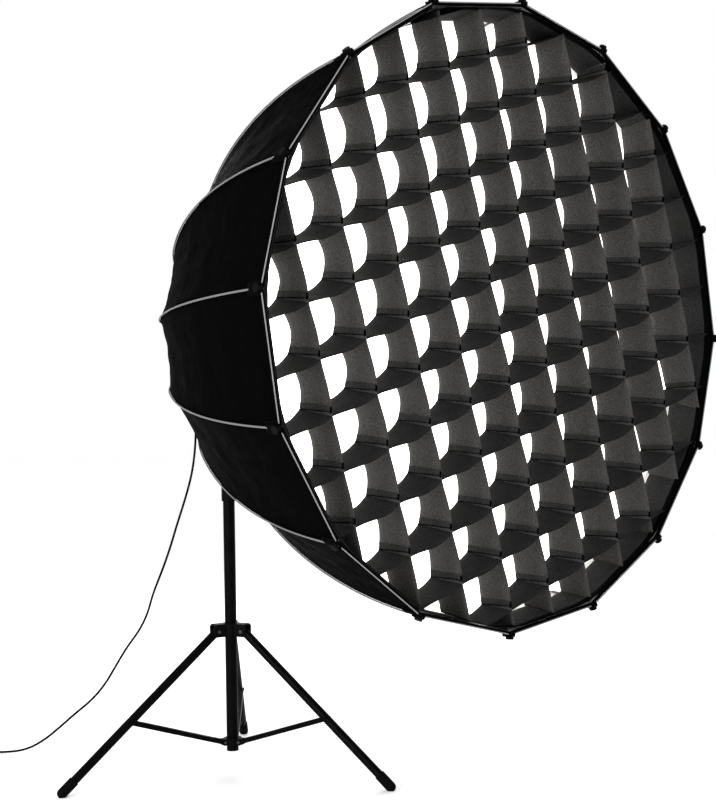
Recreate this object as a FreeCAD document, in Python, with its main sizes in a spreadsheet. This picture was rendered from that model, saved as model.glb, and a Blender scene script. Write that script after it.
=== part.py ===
import FreeCAD, Part
import math
import os
import re

import Sketcher

# A sixteen-sided parabolic softbox on its lamp, yoke and folding stand.
# Row frame: origin on the floor under the column, +Z up, the softbox faces -Y.
# Lengths are in millimetres, angles in degrees, inside a local frame per sub-part.

SIZES = {
    # softbox, along its own axis from the front rim backwards
    "side_count": 16,
    "rim_radius": 750,
    "rim_to_pivot": 1205,
    "pivot_height": 1286,
    "shell_depth": 1075,
    "front_arc": 1887,
    "rim_slope": 5,
    "bend_slope": 30.7,
    "back_arc": 583,
    "cloth": 0.8,
    "seam_turn": -8.25,
    "rod_dia": 6,
    "rod_inset": 9,
    "piping_dia": 4,
    "binding_width": 14,
    "binding_depth": 8,
    "cap_dia": 19,
    "cap_length": 11,
    "grid_depth": 95,
    "upright_pitch": 134.9,
    "upright_shift": -67,
    "upright_lean": 13.8,
    "cross_pitch": 123.9,
    "cross_shift": 15,
    "cross_rise": 19.8,
    "grid_cloth": 0.9,
    "diffuser_set": 106,
    "baffle_set": 620,
    "baffle_radius": 210,
    "ring_outer": 84,
    "ring_inner": 54,
    "sleeve_radius": 62,
    "sleeve_length": 23,
    # lamp head
    "lamp_half_width": 92,
    "lamp_half_height": 84,
    "lamp_chamfer": 26,
    "lamp_wall": 2.5,
    "lamp_front": -105,
    "lamp_back": 146,
    "panel": 4,
    "flange_radius": 80,
    "flange_depth": 22,
    "yoke_inside": 106,
    "yoke_bar": 5,
    "yoke_width": 32,
    "yoke_drop": 206,
    "tilt_pin": 6,
    "bayonet_turn": 30,
    "dial_side": 42,
    "dial_up": 20,
    "inlet_drop": 42,
    "connector_back": 172,
    "umbrella_side": 33,
    "umbrella_height": 1046,
    "umbrella_bore": 4.6,
    # stand
    "tube_one": 17.5,
    "tube_two": 15,
    "tube_three": 12.5,
    "tube_wall": 1.6,
    "column_foot": 72,
    "tube_one_top": 838,
    "tube_two_top": 902,
    "tube_three_top": 962,
    "slide_length": 560,
    "spigot": 8,
    "hub_height": 92.3,
    "hub_reach": 31,
    "collar_height": 420.8,
    "collar_reach": 46,
    "foot_reach": 531,
    "foot_centre": 11,
    "leg_radius": 12.5,
    "foot_radius": 15,
    "strut_joint": 365,
    "strut_gap": 26,
    "strut_bar": 2,
    "strut_depth": 14,
    "leg_turn": 51.25,
    # cord
    "cord_dia": 7,
    "coil_middle": 40,
}

doc = FreeCAD.newDocument("Softbox")
sheet = doc.addObject("Spreadsheet::Sheet", "Dims")
for row, (alias, number) in enumerate(SIZES.items(), start=1):
    sheet.set(f"A{row}", alias)
    sheet.set(f"B{row}", str(number))
    sheet.setAlias(f"B{row}", alias)
doc.recompute()

V = FreeCAD.Vector
X, Y, Z = V(1, 0, 0), V(0, 1, 0), V(0, 0, 1)
nodes = {}


def linked(formula):
    """A formula over the sheet's aliases, as a FreeCAD expression."""
    word = re.compile(r"[a-z_]+")
    return word.sub(lambda m: "Dims." + m.group() if m.group() in SIZES else m.group(), str(formula))


def size(formula):
    """The value of such a formula now."""
    number = sheet.evalExpression(linked(formula))
    return float(getattr(number, "Value", number))


def bind(thing, **formulas):
    """Bind properties to formulas; two underscores stand for a dot."""
    for prop, formula in formulas.items():
        thing.setExpression(prop.replace("__", "."), linked(formula))
    return thing


def turned(axis=Z, angle=0.0):
    return FreeCAD.Rotation(axis, angle)


def place(thing, at=(0, 0, 0), turn=FreeCAD.Rotation()):
    """Put a thing at a place given by formulas, then turned."""
    thing.Placement = FreeCAD.Placement(V(*[size(part) for part in at]), turn)
    for letter, formula in zip("xyz", at):
        bind(thing, **{f"Placement__Base__{letter}": formula})
    return thing


def keep(name, thing):
    """Name a finished sub-part."""
    thing.Label = name
    nodes[name] = thing
    return thing


def box(name, length, width, height, at=("0", "0", "0"), turn=FreeCAD.Rotation()):
    thing = bind(doc.addObject("Part::Box", name), Length=length, Width=width, Height=height)
    return place(thing, at, turn)


def bar(name, length, width, height, at=("0", "0", "0")):
    """A box given by its centre."""
    corner = [f"{c} - ({s}) / 2" for c, s in zip(at, (length, width, height))]
    return box(name, length, width, height, corner)


def rod(name, radius, height, at=("0", "0", "0"), along=Z):
    thing = bind(doc.addObject("Part::Cylinder", name), Radius=radius, Height=height)
    return place(thing, at, FreeCAD.Rotation(Z, along))


def cut(name, base, tool):
    thing = doc.addObject("Part::Cut", name)
    thing.Base, thing.Tool = base, tool
    return thing


def fuse(name, *pieces):
    thing = doc.addObject("Part::MultiFuse", name)
    thing.Shapes = list(pieces)
    return thing


def group(name, pieces):
    thing = doc.addObject("Part::Compound", name)
    thing.Links = list(pieces)
    return thing


def new_body(name, loose=False):
    body = doc.addObject("PartDesign::Body", name)
    body.AllowCompound = loose
    return body


def repeated(body, name, count):
    """Repeat the whole of a body about its own Z."""
    doc.recompute()
    pattern = body.newObject("PartDesign::PolarPattern", name)
    pattern.TransformMode = "Whole shape"
    pattern.Axis = (origin_plane(body, "Z_Axis"), [""])
    pattern.Angle = 360
    bind(pattern, Occurrences=count)
    body.Tip = pattern
    return body


def origin_plane(body, role):
    return next(f for f in body.Origin.OriginFeatures if f.Role == role)


def sketch_on(body, role, name, lift="0"):
    sketch = body.newObject("Sketcher::SketchObject", name)
    sketch.AttachmentSupport = (origin_plane(body, role), [""])
    sketch.MapMode = "FlatFace"
    bind(sketch, AttachmentOffset__Base__z=lift)
    return sketch


def polygon(sketch, corners):
    """A closed outline whose corners are held by formulas (x, y)."""
    spots = [V(size(x), size(y), 0) for x, y in corners]
    first = sketch.GeometryCount
    total = len(spots)
    for k in range(total):
        sketch.addGeometry(Part.LineSegment(spots[k], spots[(k + 1) % total]))
    for k in range(total):
        sketch.addConstraint(Sketcher.Constraint("Coincident", first + k, 2, first + (k + 1) % total, 1))
    for k, corner in enumerate(corners):
        for kind, formula in zip(("DistanceX", "DistanceY"), corner):
            held = sketch.addConstraint(
                Sketcher.Constraint(kind, -1, 1, first + k, 1, size(formula)))
            sketch.setExpression(f"Constraints[{held}]", linked(formula))
    return sketch


def circles(sketch, spots):
    """Round outlines (x, y, radius) held by formulas."""
    for x, y, radius in spots:
        ring = sketch.addGeometry(Part.Circle(V(size(x), size(y), 0), Z, size(radius)))
        for kind, formula in (("DistanceX", x), ("DistanceY", y)):
            held = sketch.addConstraint(Sketcher.Constraint(kind, -1, 1, ring, 3, size(formula)))
            sketch.setExpression(f"Constraints[{held}]", linked(formula))
        held = sketch.addConstraint(Sketcher.Constraint("Radius", ring, size(radius)))
        sketch.setExpression(f"Constraints[{held}]", linked(radius))
    return sketch


def pad(body, sketch, name, length, both_ways=False):
    feature = body.newObject("PartDesign::Pad", name)
    feature.Profile = sketch
    feature.SideType = "Symmetric" if both_ways else "One side"
    return bind(feature, Length=length)


def pocket(body, sketch, name, both_ways=True):
    feature = body.newObject("PartDesign::Pocket", name)
    feature.Profile = sketch
    feature.SideType = "Symmetric" if both_ways else "One side"
    return bind(feature, Length="4000")


def spun(name, corners):
    """A body turned about its own Z from an outline of (radius, height)."""
    body = new_body(name)
    sketch = polygon(sketch_on(body, "XZ_Plane", name + "_outline"), corners)
    feature = body.newObject("PartDesign::Revolution", name + "_turned")
    feature.Profile = sketch
    feature.ReferenceAxis = (sketch, ["V_Axis"])
    feature.Angle = 360
    body.Tip = feature
    return body


def around(body, features, name, count="side_count"):
    """Repeat features of a body about its own Z."""
    pattern = body.newObject("PartDesign::PolarPattern", name)
    pattern.Originals = features
    pattern.Axis = (origin_plane(body, "Z_Axis"), [""])
    pattern.Angle = 360
    bind(pattern, Occurrences=count)
    body.Tip = pattern
    return pattern


# ---------------------------------------------------------------- softbox
# Built about its own Z, from the rim (Z = 0) backwards, then laid along +Y.

SOFTBOX = FreeCAD.Placement(V(0, -size("rim_to_pivot"), size("pivot_height")), turned(X, -90))
HALF = "(180 deg / side_count)"
FLAT = f"rim_radius * cos{HALF}"
FRONT_X = f"({FLAT} - front_arc * cos(rim_slope * 1 deg))"
FRONT_Z = "(-front_arc * sin(rim_slope * 1 deg))"
BACK_X = f"({FRONT_X} + (front_arc - back_arc) * cos(bend_slope * 1 deg))"
BACK_Z = f"({FRONT_Z} + (front_arc - back_arc) * sin(bend_slope * 1 deg))"


BEND_SINE = "sin(bend_slope * 1 deg)"
BEND_COSINE = "cos(bend_slope * 1 deg)"
BACK_SINE = f"((shell_depth - {BACK_Z}) / back_arc)"


def meridian(depth, inset=0.0):
    """Distance from the axis of the middle of a gore, at a depth behind the rim."""
    front_x, front_z, back_x, back_z = [size(f) for f in (FRONT_X, FRONT_Z, BACK_X, BACK_Z)]
    bend = front_z + size("front_arc") * size(BEND_SINE)
    if depth < bend:
        return front_x + math.sqrt((size("front_arc") - inset) ** 2 - (depth - front_z) ** 2)
    return back_x + math.sqrt((size("back_arc") - inset) ** 2 - (depth - back_z) ** 2)


def hold(sketch, kind, *where, formula):
    """A driven constraint of a sketch."""
    held = sketch.addConstraint(Sketcher.Constraint(kind, *where, size(formula)))
    sketch.setExpression(f"Constraints[{held}]", linked(formula))


def held_arc(sketch, centre, radius, start, end):
    """An arc with its centre (x, y), radius and the heights of its two ends held by formulas."""
    mid_x, mid_y, reach = size(centre[0]), size(centre[1]), size(radius)
    angles = [math.asin((size(end_height) - mid_y) / reach) for end_height in (start, end)]
    circle = Part.Circle(V(mid_x, mid_y, 0), Z, reach)
    arc = sketch.addGeometry(Part.ArcOfCircle(circle, *angles))
    hold(sketch, "DistanceX", -1, 1, arc, 3, formula=centre[0])
    hold(sketch, "DistanceY", -1, 1, arc, 3, formula=centre[1])
    hold(sketch, "Radius", arc, formula=radius)
    hold(sketch, "DistanceY", -1, 1, arc, 1, formula=start)
    hold(sketch, "DistanceY", -1, 1, arc, 2, formula=end)
    return arc


def join(sketch, first, first_end, second, second_end):
    """A line between the ends of two arcs."""
    ends = [sketch.getPoint(first, first_end), sketch.getPoint(second, second_end)]
    line = sketch.addGeometry(Part.LineSegment(*ends))
    sketch.addConstraint(Sketcher.Constraint("Coincident", line, 1, first, first_end))
    sketch.addConstraint(Sketcher.Constraint("Coincident", line, 2, second, second_end))


def shell_fabric():
    """Sixteen cloth gores, each curved along the rods and straight across, mitred at the seams."""
    body = new_body("shell_fabric")
    outline = sketch_on(body, "XZ_Plane", "gore_outline")
    front, back = (FRONT_X, FRONT_Z), (BACK_X, BACK_Z)
    bend = f"{FRONT_Z} + front_arc * {BEND_SINE}"
    inner_bend = f"{FRONT_Z} + (front_arc - cloth) * {BEND_SINE}"
    outer = [held_arc(outline, front, "front_arc", "0", bend),
             held_arc(outline, back, "back_arc", bend, "shell_depth")]
    inner = [held_arc(outline, front, "front_arc - cloth", "0", inner_bend),
             held_arc(outline, back, "back_arc - cloth", inner_bend, "shell_depth")]
    join(outline, outer[0], 1, inner[0], 1)
    join(outline, outer[1], 2, inner[1], 2)
    gore = pad(body, outline, "gore", f"4 * rim_radius * sin{HALF}", both_ways=True)
    trim = sketch_on(body, "XY_Plane", "gore_sides")
    for side in ("", "-"):
        polygon(trim, [("0", "0"), ("rim_radius * 2", f"{side}rim_radius * 2 * tan{HALF}"),
                       ("rim_radius * 2", f"{side}rim_radius * 3"), ("0", f"{side}rim_radius * 3")])
    sides = pocket(body, trim, "gore_trimmed")
    doc.recompute()
    return repeated(body, "gores", "side_count")


def rib_point(depth, inset):
    """A point (radius, depth) of a seam, moved inwards across the cloth."""
    corner = math.cos(math.pi / size("side_count"))
    step = 0.5
    spot, fore, aft = [meridian(d) / corner for d in (depth, depth - step, depth + step)]
    slope = math.atan2(fore - aft, 2 * step)
    return V(spot - inset * math.cos(slope), 0, depth - inset * math.sin(slope))


def circle_through(first, second, third):
    """Centre and radius of the circle through three points of the XZ plane."""
    circle = Part.Arc(first, second, third).toShape().Curve
    return circle.Center, circle.Radius


def tangent_circle(centre, joint, end):
    """The circle that leaves a joint in line with the one around centre, and passes through end."""
    inward = (centre - joint).normalize()
    chord = end - joint
    radius = chord.dot(chord) / (2 * chord.dot(inward))
    return joint + inward * radius, radius


def bent_rods(name, thickness, inset, start, end):
    """Sixteen round strands along the seams, each of two tangent arcs."""
    body = new_body(name, loose=True)
    bend = size(f"{FRONT_Z} + front_arc * {BEND_SINE}")
    first, middle, joint, last = [rib_point(d, inset) for d in (start, (start + bend) / 2, bend, end)]
    front = circle_through(first, middle, joint)
    back = tangent_circle(front[0], joint, last)
    for part, ends, (centre, radius) in (("front", (first, joint), front), ("back", (joint, last), back)):
        angles = [math.degrees(math.atan2(spot.z - centre.z, spot.x - centre.x)) for spot in ends]
        arc = body.newObject("PartDesign::AdditiveTorus", f"{name}_{part}")
        bind(arc, Radius2=f"{thickness} / 2")
        arc.Radius1 = radius
        arc.Angle3 = angles[1] - angles[0]
        arc.Placement = FreeCAD.Placement(centre, turned(X, 90) * turned(Z, angles[0]))
    return repeated(body, name + "_all", "side_count")


def ring_profile(body, name, lift, height, outer, inner):
    """A flat sixteen-sided ring with its corners on the seams."""
    sketch = sketch_on(body, "XY_Plane", name, lift)
    for reach in (outer, inner):
        polygon(sketch, [(f"({reach}) * cos({k} * 2 * {HALF} + {HALF})",
                          f"({reach}) * sin({k} * 2 * {HALF} + {HALF})")
                         for k in range(SIZES["side_count"])])
    return pad(body, sketch, name + "_pad", height)


def many_sided(name, lift, height, reach):
    """A flat sixteen-sided plate with its corners on the seams."""
    body = new_body(name)
    sketch = polygon(sketch_on(body, "XY_Plane", name + "_outline", lift),
                     [(f"({reach}) * cos({k} * 2 * {HALF} + {HALF})",
                       f"({reach}) * sin({k} * 2 * {HALF} + {HALF})")
                      for k in range(SIZES["side_count"])])
    body.Tip = pad(body, sketch, name + "_pad", height)
    return body


def rim_binding():
    """The bound edge of the cloth, just in front of the shell."""
    body = new_body("rim_binding")
    body.Tip = ring_profile(body, "binding", "-binding_depth", "binding_depth",
                            "rim_radius + 1", "rim_radius - binding_width")
    return body


def rod_tip_caps():
    """Plastic caps over the tips of the rods, one outside each corner of the rim."""
    body = new_body("rod_tip_caps", loose=True)
    cap = body.newObject("PartDesign::AdditiveCylinder", "cap")
    bind(cap, Radius="cap_dia / 2", Height="cap_length")
    cap.Placement = FreeCAD.Placement(V(size("rim_radius + 1.5"), 0, 0), turned(Y, 90))
    return repeated(body, "caps", "side_count")


def front_diffuser():
    """White cloth stretched across the softbox behind the grid."""
    reach = meridian(size("diffuser_set")) / math.cos(math.pi / size("side_count"))
    margin = size("rod_inset") + size("rod_dia")
    return many_sided("front_diffuser", "diffuser_set", "cloth", reach - margin)


def inner_baffle():
    """A round cloth across the beam, with eight straps to the rods."""
    body = new_body("inner_baffle")
    face = circles(sketch_on(body, "XY_Plane", "baffle_face", "baffle_set"),
                   [("0", "0", "baffle_radius")])
    pad(body, face, "baffle_disc", "cloth")
    reach = meridian(size("baffle_set")) - size("rod_inset + rod_dia")
    strap = polygon(sketch_on(body, "XY_Plane", "strap_outline", "baffle_set"),
                    [("baffle_radius - 10", "-10"), (str(reach), "-10"),
                     (str(reach), "10"), ("baffle_radius - 10", "10")])
    strap_pad = pad(body, strap, "strap", "cloth")
    around(body, [strap_pad], "straps", "side_count / 2")
    return body


def grid_strips(name, upright):
    """One set of parallel strips, leaned about the softbox's axis."""
    pitch, shift, lean = (("upright_pitch", "upright_shift", "upright_lean") if upright
                          else ("cross_pitch", "cross_shift", "cross_rise"))
    count = int(size("rim_radius") // size(pitch))
    strips = []
    for k in range(-count, count + 1):
        offset = f"{k} * {pitch} + ({shift})"
        sides = ("grid_cloth", "2 * rim_radius") if upright else ("2 * rim_radius", "grid_cloth")
        middle = (offset, "0") if upright else ("0", offset)
        strips.append(bar(f"{name}_{k + count}", *sides, "grid_depth", (*middle, "grid_depth / 2 + 1")))
    whole = group(name, strips)
    whole.Placement = FreeCAD.Placement(V(), turned(Z, -size(f"{lean} + seam_turn")))
    return whole


def egg_crate_grid():
    """Two crossed sets of upright cloth strips inside a band along the rim."""
    lattice = fuse("lattice", grid_strips("uprights", True), grid_strips("crosses", False))
    inside = "rim_radius - binding_width - 12"
    disc = many_sided("grid_disc", "1", "grid_depth", inside)
    clipped = doc.addObject("Part::MultiCommon", "clipped_lattice")
    clipped.Shapes = [lattice, disc]
    band = new_body("grid_band")
    band.Tip = ring_profile(band, "band", "1", "grid_depth", inside, f"{inside} - 2 * grid_cloth")
    return fuse("egg_crate_grid", clipped, band)


def speedring():
    """Turned ring with a sleeve and three bayonet lugs, and a socket block for each rod."""
    ring_back = "shell_depth - 5"
    sleeve_end = f"{ring_back} + sleeve_length"
    wall = "sleeve_radius - ring_inner"
    body = spun("speedring_turned", [("ring_inner", "shell_depth - 18"), ("ring_outer", "shell_depth - 18"),
                                     ("ring_outer", ring_back), (f"ring_inner + {wall}", ring_back),
                                     ("sleeve_radius", sleeve_end), ("ring_inner", sleeve_end)])
    block = body.newObject("PartDesign::AdditiveBox", "socket")
    bind(block, Length="20", Width="12", Height="16")
    block.Placement = FreeCAD.Placement(V(size("ring_outer - 20"), -6, size("shell_depth - 34")), turned(Z))
    around(body, [block], "sockets")
    lug = body.newObject("PartDesign::AdditiveBox", "lug")
    bind(lug, Length="6.5", Width="27", Height="7")
    lug_low = size(f"{sleeve_end} - 7.7")
    lug.Placement = FreeCAD.Placement(V(size("sleeve_radius - 2"), -13.5, lug_low), turned(Z))
    around(body, [lug], "lugs", "3")
    return body


def softbox():
    seam_start = 42
    rod_end = size("shell_depth - 36")
    pieces = {
        "shell_fabric": shell_fabric(),
        "spring_rods": bent_rods("spring_rods_set", "rod_dia", size("rod_inset"), 4, rod_end),
        "seam_piping": bent_rods("seam_piping_set", "piping_dia", -size("piping_dia / 2 + 1"),
                                 seam_start, size("shell_depth - 12")),
        "rim_binding": rim_binding(),
        "rod_tip_caps": rod_tip_caps(),
        "front_diffuser": front_diffuser(),
        "inner_baffle": inner_baffle(),
        "egg_crate_grid": egg_crate_grid(),
        "speedring": speedring(),
    }
    on_seam = {"spring_rods", "seam_piping", "rod_tip_caps", "inner_baffle", "speedring"}
    for name, piece in pieces.items():
        spin = size("180 / side_count") if name in on_seam else 0
        piece.Placement = SOFTBOX * FreeCAD.Placement(V(), turned(Z, spin + size("seam_turn")))
        keep(name, piece)


# ---------------------------------------------------------------- lamp head
# Built about the tilt axis: X along the axis, Y backwards, Z up.

LAMP = FreeCAD.Placement(V(0, 0, size("pivot_height")), FreeCAD.Rotation())
LATCH_BACK = "lamp_front - 11"


def half_outline(side, inset="0"):
    """Half of the housing's chamfered section, above (side 1) or below (side -1) the split."""
    wide, high = f"lamp_half_width - {inset}", f"(lamp_half_height - {inset})"
    bevel = "lamp_chamfer"
    right = [(wide, "0"), (wide, f"{side} * ({high} - {bevel})"),
             (f"{wide} - {bevel}", f"{side} * {high}")]
    return right + [(f"-({x})", y) for x, y in reversed(right)]


def lamp_housing(name, side):
    """One half shell of the lamp, split level with the tilt axis."""
    body = new_body(name)
    outline = polygon(sketch_on(body, "XZ_Plane", name + "_outline", "-lamp_back"),
                      half_outline(side) + list(reversed(half_outline(side, "lamp_wall"))))
    pad(body, outline, name + "_wall", "lamp_back - lamp_front")
    vents = sketch_on(body, "YZ_Plane", name + "_vents")
    for k in range(8):
        fore = f"20 + {k} * 14"
        low, high = sorted([side * 16, side * 50])
        polygon(vents, [(fore, str(low)), (f"{fore} + 5", str(low)), (f"{fore} + 5", str(high)),
                        (fore, str(high))])
    body.Tip = pocket(body, vents, name + "_vent_cuts")
    return body


def octagon(body, name, lift, thickness):
    """A plate with the housing's full chamfered section; lift is the Y of its back face."""
    full = half_outline(1)[:3] + half_outline(1)[3:] + list(reversed(half_outline(-1)))[1:-1]
    full = [corner for corner in full if corner[1] != "0"]
    sketch = polygon(sketch_on(body, "XZ_Plane", name + "_outline", f"-({lift})"), full)
    return pad(body, sketch, name + "_plate", thickness)


def lamp_front_flange():
    """Front plate with the round bayonet seat that the softbox twists into."""
    body = new_body("flange_plate")
    octagon(body, "flange", "lamp_front - 0.2", "panel - 1")
    bore = circles(sketch_on(body, "XZ_Plane", "flange_bore"), [("0", "0", "sleeve_radius + 0.4")])
    body.Tip = pocket(body, bore, "flange_bored")
    face = "-(lamp_front - panel + 0.8)"
    lip = f"{face} + flange_depth - panel"
    hole, groove = "sleeve_radius + 0.4", "sleeve_radius + 6.4"
    seat = spun("flange_seat", [(hole, face), ("flange_radius", face), ("flange_radius", lip), (hole, lip),
                                (hole, f"{lip} - 6"), (groove, f"{lip} - 6"), (groove, f"{lip} - 14.5"),
                                (hole, f"{lip} - 14.5")])
    slot = seat.newObject("PartDesign::SubtractiveBox", "lug_slot")
    bind(slot, Length="9", Width="31", Height="12")
    slot.Placement = FreeCAD.Placement(V(size("sleeve_radius - 2"), -15.5, size(f"{lip} - 11")), turned(Z))
    around(seat, [slot], "lug_slots", "3")
    lug_turn = size("bayonet_turn + 180 / side_count + seam_turn")
    seat.Placement = FreeCAD.Placement(V(), turned(X, 90) * turned(Z, -lug_turn))
    latch_hole = rod("latch_hole", "4.2", "40", ("0", LATCH_BACK, "sleeve_radius"), Z)
    return cut("lamp_front_flange", fuse("flange_whole", body, seat), latch_hole)


def rear_panel():
    """Rear plate with the openings for the dial's shaft, the rocker switch and the inlet."""
    body = new_body("lamp_rear_panel")
    octagon(body, "rear", "lamp_back + panel + 0.2", "panel")
    shafts = circles(sketch_on(body, "XZ_Plane", "dial_hole"), [("-dial_side", "dial_up", "3.4")])
    pocket(body, shafts, "dial_opening")
    windows = sketch_on(body, "XZ_Plane", "panel_windows")
    for middle_x, middle_z, wide, high in (("dial_side", "dial_up", 15, 24), ("0", "-inlet_drop", 28, 21)):
        polygon(windows, [(f"{middle_x} - {wide / 2}", f"{middle_z} - {high / 2}"),
                          (f"{middle_x} + {wide / 2}", f"{middle_z} - {high / 2}"),
                          (f"{middle_x} + {wide / 2}", f"{middle_z} + {high / 2}"),
                          (f"{middle_x} - {wide / 2}", f"{middle_z} + {high / 2}")])
    body.Tip = pocket(body, windows, "panel_openings")
    return body


def heat_sink():
    """Base plate behind the light source, with upright fins."""
    body = new_body("heat_sink")
    plate = body.newObject("PartDesign::AdditiveBox", "sink_plate")
    bind(plate, Length="110", Width="8", Height="110")
    plate.Placement = FreeCAD.Placement(V(-55, -85, -55), turned(Z))
    fin = body.newObject("PartDesign::AdditiveBox", "fin")
    bind(fin, Length="2", Width="62", Height="110")
    fin.Placement = FreeCAD.Placement(V(-55, -78, -55), turned(Z))
    fins = body.newObject("PartDesign::LinearPattern", "fins")
    fins.Originals = [fin]
    fins.Direction = (origin_plane(body, "X_Axis"), [""])
    bind(fins, Length="108", Occurrences="13")
    body.Tip = fins
    return body


def tilt_bosses():
    """Two pivot studs that carry the lamp between the yoke's arms."""
    studs = []
    for side in (-1, 1):
        pad_start = "lamp_half_width + 0.1" if side > 0 else "-yoke_inside + 0.6"
        pin_start = "lamp_half_width + 0.1" if side > 0 else "-yoke_inside - yoke_bar - 3"
        disc = rod(f"boss_pad_{side}", "17", "yoke_inside - lamp_half_width - 0.7", (pad_start, "0", "0"), X)
        pin = rod(f"boss_pin_{side}", "tilt_pin", "yoke_inside - lamp_half_width + yoke_bar + 2.9",
                  (pin_start, "0", "0"), X)
        studs.append(fuse(f"boss_{side}", disc, pin))
    return group("tilt_pivot_bosses", studs)


def cooling_fan():
    """Rotor with seven blades on a short hub."""
    body = spun("cooling_fan", [("0", "28"), ("17", "28"), ("17", "46"), ("0", "46")])
    blade = body.newObject("PartDesign::AdditiveBox", "blade")
    bind(blade, Length="28", Width="2", Height="17")
    blade.Placement = FreeCAD.Placement(V(14, -6, 29), turned(X, 35))
    around(body, [blade], "blades", "7")
    return body


def lamp():
    source_seat = "87.9"
    dial_face = "lamp_back + panel + 0.8"
    pieces = {
        "lamp_upper_housing": (lamp_housing("lamp_upper_housing", 1), None),
        "lamp_lower_housing": (lamp_housing("lamp_lower_housing", -1), None),
        "lamp_front_flange": (lamp_front_flange(), None),
        "lamp_rear_panel": (rear_panel(), None),
        "heat_sink": (heat_sink(), None),
        "tilt_pivot_bosses": (tilt_bosses(), None),
        "led_module": (spun("led_module", [("0", "85.1"), ("30", "85.1"), ("30", "87"), ("0", "87")]), -1),
        "led_glass_dome": (spun("led_glass_dome", [("34", source_seat), ("46", source_seat),
                                                   ("46", "92"), ("38", "104"), ("20", "110"), ("0", "111"),
                                                   ("0", "108"), ("19", "107"), ("34", "100")]), -1),
        "cooling_fan": (cooling_fan(), 1),
        "dimmer_dial": (spun("dimmer_dial", [
            ("0", "lamp_back - 8"), ("3", "lamp_back - 8"), ("3", dial_face), ("15", dial_face),
            ("15", f"{dial_face} + 9"), ("13", f"{dial_face} + 13"), ("0", f"{dial_face} + 13")]), 1),
    }
    for name, (piece, facing) in pieces.items():
        turn = FreeCAD.Rotation() if facing is None else turned(X, -90 * facing)
        shift = V(-size("dial_side"), 0, size("dial_up")) if name == "dimmer_dial" else V()
        piece.Placement = LAMP * FreeCAD.Placement(shift, turn)
        keep(name, piece)
    driver = [bar("driver_plate", "120", "70", "1.6", ("0", "85", "-34")),
              bar("driver_coil", "36", "30", "22", ("-30", "90", "-22.2")),
              bar("driver_capacitor", "26", "24", "30", ("25", "100", "-18.2"))]
    keep("driver_board", fuse("driver_board", *driver)).Placement = LAMP
    rocker = [rod("rocker_drum", "7", "12", ("dial_side - 6", "lamp_back - 2", "dial_up"), X),
              bar("rocker_face", "12", "8", "18", ("dial_side", "lamp_back + 6", "dial_up"))]
    keep("power_switch", fuse("power_switch", *rocker)).Placement = LAMP
    inlet_well = bar("inlet_well", "22", "22", "15", ("0", "lamp_back - 1", "-inlet_drop"))
    inlet_block = bar("inlet_block", "27.6", "26", "20.6", ("0", "lamp_back - 9", "-inlet_drop"))
    keep("power_inlet", cut("power_inlet", inlet_block, inlet_well)).Placement = LAMP
    tongue = bar("connector_tongue", "21.6", "20", "14.6", ("0", "lamp_back + 0.5", "-inlet_drop"))
    grip = bar("connector_grip", "26", "24", "20", ("0", "lamp_back + 22.4", "-inlet_drop"))
    spout = rod("connector_spout", "cord_dia / 2 + 2", "24",
                ("0", "connector_back", "-inlet_drop - 30"), Z)
    keep("cord_connector", fuse("cord_connector", tongue, grip, spout)).Placement = LAMP
    latch = [rod("latch_pin", "4", "22", ("0", LATCH_BACK, "sleeve_radius + 7.5"), Z),
             rod("latch_knob", "7.5", "9", ("0", LATCH_BACK, "sleeve_radius + 26"), Z)]
    keep("mount_release_latch", fuse("mount_release_latch", *latch)).Placement = LAMP


# ---------------------------------------------------------------- yoke

YOKE_BASE = "pivot_height - yoke_drop - yoke_bar"


def yoke_bracket():
    """Flat bar bent into a U, with a hole in each arm for the lamp's pivot studs."""
    outside, inside = "yoke_inside + yoke_bar", "yoke_inside"
    body = new_body("yoke_bracket")
    top, low, floor_line = "pivot_height + 20", YOKE_BASE, f"{YOKE_BASE} + yoke_bar"
    bend, inner_bend = "16", "(16 - yoke_bar)"
    right = [(outside, top), (outside, f"{low} + {bend}"), (f"{outside} - 5", f"{low} + 5"),
             (f"{outside} - {bend}", low)]
    back = [(f"{outside} - {bend}", floor_line), (f"{inside} - 4", f"{floor_line} + 4"),
            (inside, f"{floor_line} + {inner_bend}"), (inside, top)]
    corners = right + [(f"-({x})", y) for x, y in reversed(right)]
    corners += [(f"-({x})", y) for x, y in reversed(back)] + back
    sketch = polygon(sketch_on(body, "XZ_Plane", "yoke_outline"), corners)
    pad(body, sketch, "yoke_bar_bent", "yoke_width", both_ways=True)
    holes = circles(sketch_on(body, "YZ_Plane", "pivot_holes"), [("0", "pivot_height", "tilt_pin + 0.15")])
    body.Tip = pocket(body, holes, "pivots_drilled")
    return body


def swivel_receiver():
    """Socket for the stand's spigot, with a clamp boss and a side hole for an umbrella's shaft."""
    low, top = "tube_three_top + 11", YOKE_BASE
    bore = "spigot + 0.1"
    body = spun("receiver_body", [(bore, low), ("19", low), ("19", f"{top} - 12"), ("26", f"{top} - 6"),
                                  ("26", top), ("0", top), ("0", f"{low} + 44"), (bore, f"{low} + 40")])
    boss = rod("receiver_boss", "9", "14", ("16", "0", f"{low} + 20"), X)
    lug = bar("umbrella_lug", "30", "36", "24", ("-28", "0", "umbrella_height"))
    solid = fuse("receiver_solid", body, boss, lug)
    screw_hole = rod("receiver_screw_hole", "4.2", "30", ("5", "0", f"{low} + 20"), X)
    shaft_hole = rod("umbrella_hole", "umbrella_bore", "60", ("-umbrella_side", "-30", "umbrella_height"), Y)
    return cut("swivel_receiver", solid, fuse("receiver_holes", screw_hole, shaft_hole))


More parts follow.
